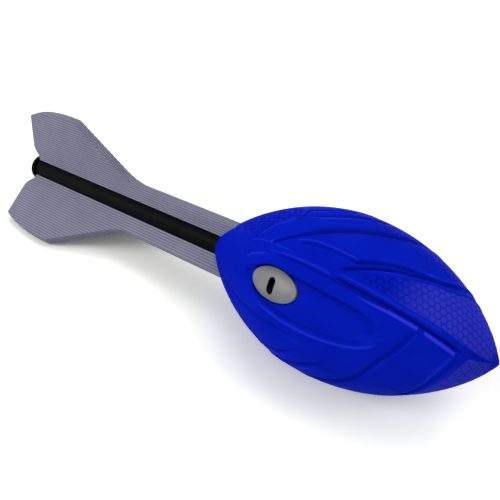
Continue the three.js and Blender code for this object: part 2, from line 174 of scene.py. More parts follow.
class Nodes:
    """Short ways to add and join shader nodes."""

    def __init__(self, name):
        self.material = bpy.data.materials.new(name)
        self.material.use_nodes = True
        self.tree = self.material.node_tree
        self.tree.nodes.clear()
        self.output = self.tree.nodes.new("ShaderNodeOutputMaterial")

    def add(self, kind, inputs=None, **settings):
        node = self.tree.nodes.new("ShaderNode" + kind)
        for name, value in settings.items():
            setattr(node, name, value)
        for name, value in (inputs or {}).items():
            self.put(node.inputs[name], value)
        return node

    def put(self, socket, value):
        if isinstance(value, bpy.types.NodeSocket):
            self.tree.links.new(value, socket)
        else:
            socket.default_value = value

    def ramp(self, factor, low, high, start=0.0, end=1.0):
        """Colour that goes from low to high as the factor goes from start to end."""
        node = self.add("ValToRGB", {"Fac": factor})
        points = node.color_ramp.elements
        points[0].position, points[0].color = start, low
        points[1].position, points[1].color = end, high
        return node.outputs["Color"]

    def span(self, factor, low, high, start=0.0, end=1.0):
        """Number that goes from low to high as the factor goes from start to end."""
        sizes = {"Value": factor, "From Min": start, "From Max": end, "To Min": low, "To Max": high}
        return self.add("MapRange", sizes).outputs["Result"]

    def dimmed(self, colour, factor):
        return self.add("VectorMath", {0: colour, "Scale": factor}, operation="SCALE").outputs[0]

    def attribute(self, name):
        return self.add("Attribute", attribute_name=name).outputs["Fac"]

    def math(self, operation, a, b=0.0):
        node = self.add("Math", operation=operation)
        self.put(node.inputs[0], a)
        self.put(node.inputs[1], b)
        return node.outputs[0]

    def noise(self, place, scale, detail=4.0, roughness=0.55):
        sizes = {"Vector": place, "Scale": scale, "Detail": detail, "Roughness": roughness}
        return self.add("TexNoise", sizes).outputs["Fac"]

    def place(self, scale=(1.0, 1.0, 1.0)):
        coordinates = self.add("TexCoord").outputs["Object"]
        return self.add("Mapping", {"Vector": coordinates, "Scale": scale}).outputs["Vector"]

    def bump(self, height, distance, strength=1.0, below=None):
        node = self.add("Bump", {"Height": height, "Distance": distance, "Strength": strength})
        if below is not None:
            self.put(node.inputs["Normal"], below)
        return node.outputs["Normal"]

    def surface(self, **values):
        node = self.add("BsdfPrincipled")
        for name, value in values.items():
            self.put(node.inputs[name.replace("_", " ")], value)
        self.tree.links.new(node.outputs["BSDF"], self.output.inputs["Surface"])
        return self.material


# Mesh attributes that the materials read
CARVED = "carved"  # height of moulded lines or ribs over the surface, in millimetres
PAINTED_SHEEN = "painted_sheen"  # share of painted sheen on the nose's grip, which makes it paler

PAINTED_LIGHT_COLOUR = (0.02, 0.019, 0.09)  # painted highlight on a ridge's crest and painted sheen on the nose's grip, added to the blue


def foam_blue():
    """Satin foam skin, with painted shade in its grooves, a painted highlight on its crests and a painted
    sheen on the nose's grip.
    """
    n = Nodes("foam_blue")
    place = n.place()
    clouds = n.noise(place, 34.0)
    grain = n.noise(place, 1500.0, 2.0)
    pores = n.add("TexVoronoi", {"Vector": place, "Scale": 900.0}).outputs["Distance"]
    plain = n.ramp(clouds, (0.0008, 0.0075, 0.385, 1), (0.0015, 0.012, 0.46, 1), 0.3, 0.7)
    lines = n.attribute(CARVED)
    # Painted shade: darker in the grooves, and a painted highlight: brighter on the ridges
    shade = n.math("MULTIPLY", n.span(lines, 0.5, 1.0, -0.8, 0.0), n.span(lines, 1.0, 1.4, 0.0, 0.5))
    # Painted highlight on the ridges' crests, as a paler blue
    crest_highlight = n.span(lines, 0.0, 0.8, 0.15, 0.6)
    # Painted highlight on the crests and painted sheen on the nose's grip, added to the blue
    painted_light = n.dimmed(PAINTED_LIGHT_COLOUR, n.math("ADD", crest_highlight, n.attribute(PAINTED_SHEEN)))
    mixed = n.add("VectorMath", {0: plain, 1: painted_light}, operation="ADD").outputs[0]
    colour = n.dimmed(mixed, shade)
    rough = n.span(n.math("ADD", clouds, n.math("MULTIPLY", grain, 0.4)), 0.38, 0.52)
    fine = n.bump(grain, 0.00006, 0.5)
    normal = n.bump(pores, 0.00005, 0.3, fine)
    return n.surface(Base_Color=colour, Roughness=rough, Normal=normal, Specular_IOR_Level=0.005)


def foam_grey():
    """Dry ribbed foam of the fins, with painted shade between the ribs."""
    n = Nodes("foam_grey")
    place = n.place()
    cells = n.add("TexVoronoi", {"Vector": place, "Scale": 1100.0}).outputs["Distance"]
    clouds = n.noise(place, 60.0)
    speckle = n.noise(place, 900.0, 3.0)
    mixed = n.math("ADD", n.math("MULTIPLY", clouds, 0.6), n.math("MULTIPLY", speckle, 0.4))
    plain = n.ramp(mixed, (0.205, 0.209, 0.298, 1), (0.242, 0.247, 0.344, 1), 0.35, 0.65)
    # Painted shade in the grooves between the ribs
    colour = n.dimmed(plain, n.span(n.attribute(CARVED), 0.55, 1.0, RIB_TONE - RIB_DEPTH, RIB_TONE))
    rough = n.span(speckle, 0.72, 0.9)
    normal = n.bump(cells, 0.00012, 0.55, n.bump(speckle, 0.0001, 0.35))
    return n.surface(Base_Color=colour, Roughness=rough, Normal=normal, Specular_IOR_Level=0.3)


def black_plastic(name, streak):
    """Black plastic with fine lines, drawn out where the streak's scale is small."""
    n = Nodes(name)
    place = n.place(streak)
    lines = n.noise(place, 900.0, 3.0)
    grain = n.noise(n.place(), 1400.0, 2.0)
    clouds = n.noise(n.place(), 55.0)
    colour = n.ramp(clouds, (0.002, 0.0017, 0.0018, 1), (0.0045, 0.0038, 0.0036, 1), 0.35, 0.7)
    rough = n.span(n.math("ADD", lines, n.math("MULTIPLY", grain, 0.3)), 0.36, 0.52)
    normal = n.bump(lines, 0.00005, 0.5, n.bump(grain, 0.00004, 0.4))
    return n.surface(Base_Color=colour, Roughness=rough, Normal=normal, Specular_IOR_Level=0.025)


def grey_plastic():
    n = Nodes("plastic_grey")
    place = n.place()
    clouds = n.noise(place, 90.0)
    grain = n.noise(place, 1800.0, 3.0)
    colour = n.ramp(clouds, (0.149, 0.147, 0.159, 1), (0.19, 0.186, 0.201, 1), 0.35, 0.65)
    rough = n.span(grain, 0.38, 0.52)
    return n.surface(Base_Color=colour, Roughness=rough, Normal=n.bump(grain, 0.00004, 0.4))


def natural_plastic():
    n = Nodes("plastic_natural")
    place = n.place()
    clouds = n.noise(place, 70.0)
    grain = n.noise(place, 1500.0, 3.0)
    colour = n.ramp(clouds, (0.53, 0.52, 0.47, 1), (0.62, 0.61, 0.56, 1), 0.35, 0.65)
    rough = n.span(grain, 0.42, 0.55)
    return n.surface(Base_Color=colour, Roughness=rough, Normal=n.bump(grain, 0.00004, 0.4))


def drawn_steel():
    n = Nodes("steel")
    lines = n.noise(n.place((1.0, 0.04, 1.0)), 2500.0, 3.0)
    colour = n.ramp(lines, (0.36, 0.37, 0.38, 1), (0.46, 0.47, 0.48, 1), 0.3, 0.7)
    rough = n.span(lines, 0.26, 0.42)
    return n.surface(
        Base_Color=colour, Roughness=rough, Metallic=1.0, Normal=n.bump(lines, 0.00003, 0.4))


FOAM_BLUE = foam_blue()
FOAM_GREY = foam_grey()
TUBE_BLACK = black_plastic("plastic_black", (0.03, 1.0, 1.0))
INNER_BLACK = black_plastic("plastic_inner", (1.0, 1.0, 1.0))
PLASTIC_GREY = grey_plastic()
PLASTIC_NATURAL = natural_plastic()
STEEL = drawn_steel()


# Mesh helpers


def loose_object(name, points, faces):
    mesh = bpy.data.meshes.new(name)
    mesh.from_pydata([tuple(map(float, p)) for p in points], [], faces)
    mesh.validate()
    thing = bpy.data.objects.new(name, mesh)
    bpy.context.collection.objects.link(thing)
    return thing


def closed_object(name, points, faces):
    """A closed mesh, with all its faces turned outwards."""
    thing = loose_object(name, points, faces)
    mesh = bmesh.new()
    mesh.from_mesh(thing.data)
    bmesh.ops.recalc_face_normals(mesh, faces=mesh.faces)
    mesh.to_mesh(thing.data)
    mesh.free()
    return thing


def mark(thing, name, values, domain):
    """Gives a mesh an attribute with one value for each of its points or faces."""
    data = thing.data.attributes.new(name, "FLOAT", domain).data
    data.foreach_set("value", np.asarray(values, dtype=np.float32))


def combined(target, others, operation="DIFFERENCE"):
    """The target with the other closed objects cut away, or kept only inside them."""
    for other in others:
        modifier = target.modifiers.new("combine", "BOOLEAN")
        modifier.operation = operation
        modifier.solver = "MANIFOLD"
        modifier.object = other
    graph = bpy.context.evaluated_depsgraph_get()
    mesh = bpy.data.meshes.new_from_object(target.evaluated_get(graph))
    target.modifiers.clear()
    old = target.data
    target.data = mesh
    bpy.data.meshes.remove(old)
    for other in others:
        bpy.data.objects.remove(other)
    return target


def finished(thing, name, material, replaced, turn=0.0, sharp_from=35.0):
    """Places a piece made in the toy's frame, and gives it its finish and its body."""
    thing.name = name
    mesh = thing.data
    mesh.name = name
    mesh.transform(toy_frame @ Matrix.Rotation(math.radians(turn), 4, "X"))
    mesh.materials.clear()
    mesh.materials.append(material)
    mesh.shade_smooth()
    mesh.set_sharp_from_angle(angle=math.radians(sharp_from))
    mesh.update()
    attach(thing, "root")
    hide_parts(replaced)
    return thing


def copied(thing):
    twin = thing.copy()
    twin.data = thing.data.copy()
    bpy.context.collection.objects.link(twin)
    return twin


def turned(name, profile, sides=96):
    """A profile of (along, radius) points turned round the axis. It closes on itself or on the axis."""
    closed = profile[0] == profile[-1]
    rings = profile[:-1] if closed else profile
    angles = np.linspace(0, 2 * math.pi, sides, endpoint=False)
    points, starts = [], []
    for along, radius in rings:
        starts.append((len(points), radius > 0))
        if radius > 0:
            points += [(along, -radius * math.sin(a), radius * math.cos(a)) for a in angles]
        else:
            points.append((along, 0.0, 0.0))
    faces = []
    following = starts[1:] + starts[:1] if closed else starts[1:]
    for (one, one_round), (two, two_round) in zip(starts, following):
        for k in range(sides):
            nxt = (k + 1) % sides
            if one_round and two_round:
                faces.append((one + k, one + nxt, two + nxt, two + k))
            elif one_round:
                faces.append((one + k, one + nxt, two))
            elif two_round:
                faces.append((one, two + nxt, two + k))
    return closed_object(name, points, faces)


def rod(name, start, end, radius, sides):
    return turned(name, [(start, 0), (start, radius), (end, radius), (end, 0)], sides)


def box_between(name, low, high):
    (x0, y0, z0), (x1, y1, z1) = low, high
    points = [(x, y, z) for x in (x0, x1) for y in (y0, y1) for z in (z0, z1)]
    faces = [(0, 1, 3, 2), (4, 6, 7, 5), (0, 4, 5, 1), (2, 3, 7, 6), (0, 2, 6, 4), (1, 5, 7, 3)]
    return closed_object(name, points, faces)


def oval_loft(name, ovals, sides=72):
    """A closed solid through ovals of (half length, half width, height), points at both ends."""
    angles = np.linspace(0, 2 * math.pi, sides, endpoint=False)
    points = [(0, 0, ovals[0][2])]
    for length, width, height in ovals[1:-1]:
        points += [(length * math.cos(t), width * math.sin(t), height) for t in angles]
    points.append((0, 0, ovals[-1][2]))
    last_ring = 1 + (len(ovals) - 3) * sides
    faces = []
    for k in range(sides):
        nxt = (k + 1) % sides
        faces.append((0, 1 + k, 1 + nxt))
        for low in range(1, last_ring, sides):
            faces.append((low + k, low + sides + k, low + sides + nxt, low + nxt))
        faces.append((last_ring + nxt, last_ring + k, len(points) - 1))
    return closed_object(name, points, faces)


def arc_points(centre, radius, start, end, steps):
    """Points of a profile's rounded edge, angles in degrees."""
    angles = [math.radians(start + (end - start) * k / steps) for k in range(steps + 1)]
    return [(centre[0] + radius * math.cos(a), centre[1] + radius * math.sin(a)) for a in angles]


def bend_points(start, control, end, steps):
    """Points of a curve that bends towards a control point, without its start."""
    points = []
    for k in range(1, steps + 1):
        t = k / steps
        points.append(tuple(
            (1 - t) ** 2 * a + 2 * t * (1 - t) * b + t * t * c for a, b, c in zip(start, control, end)))
    return points


# Foam body


def outline_radius(along):
    fore = np.clip((along - WIDEST) / (NOSE - WIDEST), 0, 1)
    aft = np.clip((WIDEST - along) / (WIDEST - BODY_REAR), 0, 1)
    shape = np.where(
        along >= WIDEST,
        np.maximum(1 - fore ** NOSE_CURVE[0], 0) ** NOSE_CURVE[1],
        np.maximum(1 - aft ** REAR_CURVE[0], 0) ** REAR_CURVE[1],
    )
    return BODY_RADIUS * shape


def radius_at(along):
    """The outline's radius at one place."""
    return float(outline_radius(np.array(along)))


def smooth(value):
    """0 up to 0, 1 from 1 on, and a smooth rise between."""
    t = np.clip(value, 0, 1)
    return t * t * (3 - 2 * t)


def risen(value, start, length):
    """0 up to the start, and a smooth rise to 1 over the length."""
    return smooth((value - start) / length)


def skin_points(along, turn):
    radius = outline_radius(along)
    angle = np.radians(turn)
    return np.stack([along, -radius * np.sin(angle), radius * np.cos(angle)], axis=-1)


def skin_frame(along, turn):
    """Points of the smooth outline, and its outward directions there."""
    step = 0.01
    lean = (outline_radius(along + step) - outline_radius(along - step)) / (2 * step)
    angle = np.radians(turn)
    normals = np.stack([-lean, -np.sin(angle), np.cos(angle)], axis=-1)
    return skin_points(along, turn), normals / np.linalg.norm(normals, axis=1)[:, None]


def curve_through(knots, count=160):
    """Catmull-Rom curve through (along, turn) knots, evenly stepped from knot to knot."""
    knots = np.array(knots, dtype=float)
    padded = np.vstack([2 * knots[0] - knots[1], knots, 2 * knots[-1] - knots[-2]])
    spans = len(knots) - 1
    out = []
    for t in np.linspace(0, spans, count):
        k = min(int(t), spans - 1)
        u = t - k
        a, b, c, d = padded[k : k + 4]
        square = 2 * a - 5 * b + 4 * c - d
        cube = 3 * b - a - 3 * c + d
        out.append(0.5 * (2 * b + (c - a) * u + square * u**2 + cube * u**3))
    return np.array(out)


FAR_FROM_LINE = 4.0  # beyond this the plain distance counts, and nearer the distance to the side


class Line:
    """A line on one sector's skin, which says how far the skin's points lie from it."""

    def __init__(self, knots):
        self.knots = curve_through(knots)

    def measured(self, skin, normals, copies=(-SECTOR, 0.0, SECTOR)):
        """Distance to the left of travel, and the share of the line's length that lies behind."""
        best = np.full(len(skin), np.inf)
        side = np.zeros(len(skin))
        share = np.zeros(len(skin))
        last = len(self.knots) - 1
        for turn in copies:
            line = skin_points(self.knots[:, 0], self.knots[:, 1] + turn)
            tangents = np.gradient(line, axis=0)
            steps = np.linalg.norm(tangents, axis=1)
            tangents /= steps[:, None]
            squares = (skin**2).sum(1)[:, None] + (line**2).sum(1)[None, :] - 2 * skin @ line.T
            nearest = squares.argmin(1)
            distance = squares[np.arange(len(skin)), nearest]
            offset = skin - line[nearest]
            left = (offset * np.cross(normals, tangents[nearest])).sum(1)
            ahead = (offset * tangents[nearest]).sum(1) / steps[nearest]
            nearer = distance < best
            best = np.where(nearer, distance, best)
            side = np.where(nearer, left, side)
            share = np.where(nearer, (nearest + ahead) / last, share)
        far = np.sqrt(np.maximum(best, 0)) * np.where(side < 0, -1, 1)
        return np.where(np.abs(far) > FAR_FROM_LINE, far, side), np.clip(share, 0, 1)


class Moulded(Line):
    """A line with a ridge or a groove along it.

    Its heights over the skin and its half widths are given at even steps along it. It is level over
    a share, flat, of the half width, and fades in and out over shares of the length.
    """

    def __init__(self, knots, heights, widths, flat=0.0, fade_in=0.08, fade_out=0.08):
        super().__init__(knots)
        self.heights, self.widths, self.flat = heights, widths, flat
        self.fade_in, self.fade_out = fade_in, fade_out

    def lift(self, skin, normals):
        left, share = self.measured(skin, normals)
        height, width = (
            np.interp(share, np.linspace(0, 1, len(sizes)), sizes) for sizes in (self.heights, self.widths))
        amount = smooth(share / self.fade_in) * smooth((1 - share) / self.fade_out)
        away = np.maximum(np.abs(left) - self.flat * width, 0)
        return height * amount * np.exp(-((away / width) ** 2))


# Lines of one sector as (along, turn) knots. A turn past the sector reaches the next one.
SPINE_EDGE = Line([
    (246, 37.2), (255.8, 37.9), (266.3, 38.9), (276, 40.3), (286.3, 41.2), (295.3, 44.3), (301.6, 48.6),
    (306, 52.4), (311, 60),
])
FRONT_SWOOP_EDGE = Line([
    (250, 33.6), (257.4, 28.6), (262, 25), (270.5, 19.6), (277, 13.8), (284, 7), (288, 2), (291.5, -6),
    (294.5, -17), (297.5, -28.5), (300, -40), (302.6, -58),
])
GRIP_EDGE = Line([
    (186, 26), (195, 30), (200.5, 29.5), (203.2, 23.5), (207.5, 16), (212, 10.7), (215.5, 4),
    (213.3, -9.3), (204, -22), (196, -32), (186, -39),
])
TROUGH_EDGE = Line([
    (200.5, 57.5), (204, 53), (208.5, 50.4), (215, 49.1), (225, 48.8), (235, 49.3), (245.3, 50.4),
    (255.8, 51.6), (262.5, 52.8), (267.5, 55.6), (270.6, 59.5), (271.8, 63), (271, 66.5), (268.5, 70),
    (264, 73.4), (257, 75.6), (245, 76.8), (235, 76.7), (224.5, 75.8), (215, 74.4), (207.5, 70.8),
    (203.2, 66), (200.8, 61.5), (200.5, 57.5),
])

MOULDED = [
    # Spine: thin ridges and a line behind, then a narrow channel to the nose with ridges beside it
    Moulded(
        [(197, 35), (201, 33), (206, 32.5), (215, 33.9), (222.5, 35), (228, 36.6)],
        heights=(0.3,), widths=(0.6,), fade_out=0.3),
    Moulded(
        [(210, 39.5), (216.5, 38.6), (225, 38.2), (235, 38.6), (245, 39.4), (250, 40.3)],
        heights=(0.32,), widths=(0.9,)),
    Moulded(
        [(214, 39.9), (225, 40), (235, 40.7), (245, 41.9), (255.8, 43.2), (266, 44.4), (272, 45)],
        heights=(-0.5,), widths=(0.6,)),
    Moulded(
        [(242, 38.6), (250, 40.4), (261, 41.6), (271.6, 42.9), (282, 44.8), (290.5, 47.6),
         (295.3, 50.2), (299.5, 53.6), (303, 57)],
        heights=(-0.9,), widths=(0.35, 0.42, 0.46, 0.48, 0.48, 0.5, 0.5), flat=0.45, fade_in=0.12,
        fade_out=0.2),
    Moulded([(303, 50.2), (306.5, 54), (310.5, 60.5)], heights=(-0.35,), widths=(0.5,)),
    Moulded(SPINE_EDGE.knots[:96], heights=(0.28,), widths=(0.7,)),
    Moulded(
        [(250, 43), (261, 45.4), (269.5, 46), (277.9, 47.5), (283.4, 48.7)],
        heights=(0.7,), widths=(0.5, 0.65), flat=0.3, fade_in=0.5, fade_out=0.03),
    Moulded(
        [(285.4, 49.2), (289, 51), (292.6, 53.2), (295.8, 55.7), (298.9, 58.8)],
        heights=(0.72,), widths=(0.6,), flat=0.4, fade_in=0.06, fade_out=0.06),
    # Rear swoop: a groove that widens, between a short ridge and a long one
    Moulded(
        [(209.5, 33), (211, 30.4), (215, 26.6), (220, 22.1), (225, 17.7), (229, 14)],
        heights=(0.4,), widths=(0.6,), fade_out=0.25),
    Moulded(
        [(210.5, 33.5), (213, 30), (217.5, 26), (222.5, 21.6), (227, 17.8), (235, 11.4), (245, 3.8),
         (250, 0), (259.5, -8.6), (264, -14.5), (268, -22), (271, -31), (274, -39.5), (277.3, -47),
         (279.8, -55), (281.8, -62), (283.2, -69)],
        heights=(-0.85, -0.85, -0.85, -0.5, -0.35), widths=(0.6, 0.8, 1.8, 1.8, 1.6, 1.2, 1.2, 1.2),
        flat=0.2, fade_in=0.04, fade_out=0.03),
    Moulded(
        [(215, 29.4), (222.5, 23.4), (228, 20.4), (235, 15.2), (245, 7), (250, 3.2), (259.5, -6),
         (264, -12), (268, -19.5), (271.8, -29), (275, -37.5), (278.3, -46), (281, -54.5),
         (284.4, -68.4)],
        heights=(0.36,), widths=(0.6, 0.8), fade_out=0.02),
    # Middle swoop: a thin ridge over a line, then past its kink a band between two low ridges
    Moulded(
        [(222, 27), (227.5, 24.3), (235, 23.6), (245.3, 24.2), (252, 24.7)],
        heights=(0.4,), widths=(0.6,), fade_out=0.03),
    Moulded(
        [(224, 27.2), (232, 25.3), (240, 25.4), (247, 25.9), (252.5, 26.5)],
        heights=(-0.5,), widths=(0.7,), fade_out=0.06),
    Moulded(
        [(251.4, 26.6), (253.5, 25), (259, 20.7), (267.4, 15), (275.3, 10.4), (281, 6)],
        heights=(-0.75,), widths=(0.7, 1.0, 0.8, 0.5), flat=0.2, fade_in=0.03, fade_out=0.3),
    Moulded(
        [(252, 24), (258.4, 18.9), (266.3, 13.6), (275.8, 7.5), (280, 4)],
        heights=(0.22,), widths=(0.8,)),
    Moulded(
        [(254, 27), (258.5, 23.5), (262.6, 20.7), (267, 18), (272.5, 14.8)],
        heights=(0.22,), widths=(0.6,)),
    # Front swoop: a line that widens into a band, with a ridge at each side
    Moulded(
        [(244.5, 36.4), (250.5, 31.8), (258.4, 25.7), (267.4, 18.9), (274.7, 13.8), (282, 6),
         (286, 0.6), (289.5, -7), (292.5, -17), (295.5, -29), (298, -41), (300.4, -58)],
        heights=(-0.9, -0.9, -0.8, -0.4, -0.2), widths=(0.5, 0.5, 0.55, 0.85, 1.2, 1.4, 1.4), flat=0.2,
        fade_out=0.03),
    Moulded(
        [(275.5, 9), (280, 5), (284, 0), (287.5, -8), (290.5, -18), (293.2, -31), (295.8, -44),
         (298.5, -60)],
        heights=(0.3,), widths=(0.8, 1.1), fade_in=0.15, fade_out=0.03),
    Moulded(FRONT_SWOOP_EDGE.knots[8:], heights=(0.26,), widths=(0.6, 0.6, 0.8)),
    # Feathers, the notch that joins them to the grip, and two short lines near the nose
    Moulded(
        [(217, 4), (224, 1.1), (232.5, -5.4), (237.5, -10), (242, -14), (250.5, -23), (257, -36)],
        heights=(-0.6,), widths=(0.7, 1.1, 1.1), fade_in=0.15, fade_out=0.3),
    Moulded(
        [(219, 4.6), (225, 3.4), (230, 1.2), (237.5, -5), (245, -13), (250, -19.5)],
        heights=(0.38,), widths=(0.7,), fade_out=0.3),
    Moulded(
        [(215.5, -6), (220, -7.8), (230, -15.7), (236, -23), (241, -31)],
        heights=(-0.5,), widths=(0.8,), fade_out=0.3),
    Moulded(
        [(217.5, -2), (221, -4.6), (230, -11.4), (234, -16), (238, -21.5)],
        heights=(0.32,), widths=(0.7,), fade_out=0.3),
    Moulded([(214.3, 9), (215.8, 5), (216.3, -4.3), (216, -8)], heights=(-0.5,), widths=(0.6,)),
    Moulded(
        [(274, -7), (275, -2.1), (276.3, 0.7), (278.8, 2.2)],
        heights=(-0.3,), widths=(0.5,), fade_in=0.3, fade_out=0.3),
    Moulded(
        [(280.3, -16), (281.6, -12), (283.2, -8.6), (286.5, -8.6)],
        heights=(-0.3,), widths=(0.5,), fade_in=0.3, fade_out=0.3),
    # Trough: lines along its upper and lower edges, and a ridge below it
    Moulded(
        [(203, 54.6), (208.5, 51.4), (215, 50), (225, 49.7), (235, 50.2), (245.3, 51.3), (255.8, 52.5),
         (262.5, 53.8), (267.5, 56.6)],
        heights=(-0.6,), widths=(0.7,), fade_in=0.2, fade_out=0.2),
    Moulded(
        [(207, 68.5), (215, 72.9), (224.5, 74.4), (235, 75.3), (245, 75.4), (257, 74.2), (264, 72),
         (268.5, 68.8)],
        heights=(-0.5,), widths=(0.8,), fade_in=0.2, fade_out=0.2),
    Moulded(
        [(207.5, 72.2), (215, 75.8), (224.5, 77.3), (235, 78.2), (245, 78.3), (257, 77.1), (264, 75),
         (269, 71.5), (272, 67.5)],
        heights=(0.4,), widths=(0.8,), fade_in=0.25, fade_out=0.15),
    # Border of the grip, a soft line along the side with a ridge beyond it, and the arc over the whistle
    Moulded(GRIP_EDGE.knots[30:120], heights=(0.3,), widths=(0.6,)),
    Moulded(
        [(184, 79), (190, 83), (197, 85.8), (206, 86.8), (216, 86.2), (228, 85), (240, 85), (247, 86)],
        heights=(-0.4,), widths=(1.3,), fade_in=0.3, fade_out=0.4),
    Moulded(
        [(221, 87.6), (228, 86.8), (239, 87), (245, 88)],
        heights=(0.25,), widths=(0.9,), fade_in=0.3, fade_out=0.3),
    Moulded(
        [(199.5, 49.8), (202.5, 45.7), (208, 42.5), (215, 41.2), (224, 41)],
        heights=(0.34,), widths=(0.8,), fade_out=0.5),
    Moulded(
        [(209, 41), (213, 39.9), (218, 39.3)],
        heights=(-0.25,), widths=(0.6,), fade_in=0.3, fade_out=0.3),
]

SKIN_INSET = 0.3  # keeps the ridges inside the solid's outline
MOUTH_ROLL = 0.7  # depth and reach of the rolled edge round a whistle
TROUGH_DEPTH = 2.3
TROUGH_WALLS = (  # share of the way round its edge, and how far its wall runs inwards there
    (0.0, 3.0), (0.12, 1.5), (0.4, 1.5), (0.46, 3.0), (0.56, 4.0), (0.64, 2.6), (0.9, 2.4), (1.0, 3.0))


def trough(skin, normals):
    """Dish round and ahead of the whistle, with a steep upper wall and a softer nose end."""
    left, share = TROUGH_EDGE.measured(skin, normals)
    run = np.interp(share, *zip(*TROUGH_WALLS))
    return -TROUGH_DEPTH * smooth(-left / run)


def whistle_mouth(along, turn):
    """Rolled foam edge round a whistle's pocket."""
    across = np.radians(turn - SECTOR / 2) * radius_at(WHISTLE_ALONG)
    half = [size + MOUTH_GAP for size in WHISTLE_HALF]
    level = np.sqrt(((along - WHISTLE_ALONG) / half[0]) ** 2 + (across / half[1]) ** 2)
    away = (level - 1) * half[1]
    return -MOUTH_ROLL * np.exp(-np.maximum(away, 0) / MOUTH_ROLL)


# Hexagonal cells of the grip, and the painted sheen on those at the nose
CELL_PITCH = 3.15
CELL_DEPTH = 0.4
CELL_LINE_SHARE = 0.34  # of a cell's half width, taken by the line round it
CELL_START = (276.8, 19.6)  # a cell's middle, along and turn
CELL_TURN = 16.4  # turn along which the rows of cells run
FRONT_CELLS_FROM = 254.0
REAR_CELLS_FROM = 171.0
REAR_CELLS_TO = 216.0
SHEEN_FROM = 266.0


def cells(arc, along, turn, stations, arcs):
    """Hexagonal cells: 0 on the lines between them to 1 on their flat tops."""
    row = CELL_PITCH * math.sqrt(3) / 2
    lengthwise = arc - np.interp(CELL_START[0], stations, arcs)
    across = np.radians(turn - CELL_TURN) * outline_radius(along)
    across = across - math.radians(CELL_START[1] - CELL_TURN) * radius_at(CELL_START[0])

    def from_middle(shift_lengthwise, shift_across):
        s = np.mod(lengthwise + shift_lengthwise + CELL_PITCH / 2, CELL_PITCH) - CELL_PITCH / 2
        w = np.mod(across + shift_across + row, 2 * row) - row
        return s, w

    a, b = from_middle(0, 0), from_middle(CELL_PITCH / 2, row)
    first = a[0] ** 2 + a[1] ** 2 < b[0] ** 2 + b[1] ** 2
    s = np.abs(np.where(first, a[0], b[0]))
    w = np.abs(np.where(first, a[1], b[1]))
    reach = np.maximum(s, 0.5 * s + math.sqrt(3) / 2 * w)
    return smooth((1 - reach / (CELL_PITCH / 2)) / CELL_LINE_SHARE)


def grip_panels(along, skin, normals):
    """Where the skin carries cells: a panel at the nose and one at the rear, with soft borders."""
    swoop, spine, edge = (
        line.measured(skin, normals, (0.0,))[0] for line in (FRONT_SWOOP_EDGE, SPINE_EDGE, GRIP_EDGE))
    front = risen(-swoop, 1.0, 0.8) * risen(spine, 1.0, 0.8) * risen(along, FRONT_CELLS_FROM, 4.0)
    front *= risen(outline_radius(along), 4.0, 4.0)
    rear = risen(edge, 1.2, 1.0) * risen(along, REAR_CELLS_FROM, 8.0) * risen(-along, -REAR_CELLS_TO, 2.0)
    return front, rear


def relief(along, turn, arc, skin, normals, stations, arcs):
    """Height of the moulded skin over the smooth outline, for turns from 0 to one sector.

    It also gives the height of the lines and cells alone, and the share of painted sheen on the nose's
    grip.
    """
    height = trough(skin, normals) + whistle_mouth(along, turn) - SKIN_INSET
    lines = np.zeros(len(skin))
    for line in MOULDED:
        lines += line.lift(skin, normals)
    centred = np.mod(turn + SECTOR / 2, SECTOR) - SECTOR / 2
    front, rear = grip_panels(along, *skin_frame(along, centred))
    tops = cells(arc, along, centred, stations, arcs)
    lines += CELL_DEPTH * (front + rear) * (tops - 1)
    return height + lines, lines, front * risen(along, SHEEN_FROM, 18.0)


BODY_ROWS = 440
SECTOR_COLUMNS = 200
FINE_STEPS = 2000  # from the widest ring to the nose, and to the rear, to measure the outline's length
POLE_TAPER = 5.0  # radius up to which the relief fades out towards the nose and the rear


def even_stations():
    """Places along the axis at even steps along the outline, and how far along the outline they lie."""
    fine = WIDEST + np.concatenate([
        -(WIDEST - BODY_REAR) * np.sin(np.linspace(np.pi / 2, 0, FINE_STEPS)),
        (NOSE - WIDEST) * np.sin(np.linspace(0, np.pi / 2, FINE_STEPS))[1:],
    ])
    fine_radii = outline_radius(fine)
    fine_arcs = np.concatenate([[0], np.cumsum(np.hypot(np.diff(fine), np.diff(fine_radii)))])
    arcs = np.linspace(0, fine_arcs[-1], BODY_ROWS + 2)[1:-1]
    return np.interp(arcs, fine_arcs, fine), arcs


def moulded_sector():
    """Points of one sector's skin, row by row, and what their attributes hold."""
    stations, arcs = even_stations()
    turns = SECTOR * np.arange(SECTOR_COLUMNS) / SECTOR_COLUMNS
    along, turn = (grid.ravel() for grid in np.meshgrid(stations, turns, indexing="ij"))
    arc = np.repeat(arcs, SECTOR_COLUMNS)
    skin, normals = skin_frame(along, turn)
    # The third value is the share of painted sheen on the nose's grip
    height, lines, grain = relief(along, turn, arc, skin, normals, stations, arcs)
    taper = smooth(np.repeat(outline_radius(stations), SECTOR_COLUMNS) / POLE_TAPER)
    return skin + normals * (height * taper)[:, None], {CARVED: lines * taper, PAINTED_SHEEN: grain}


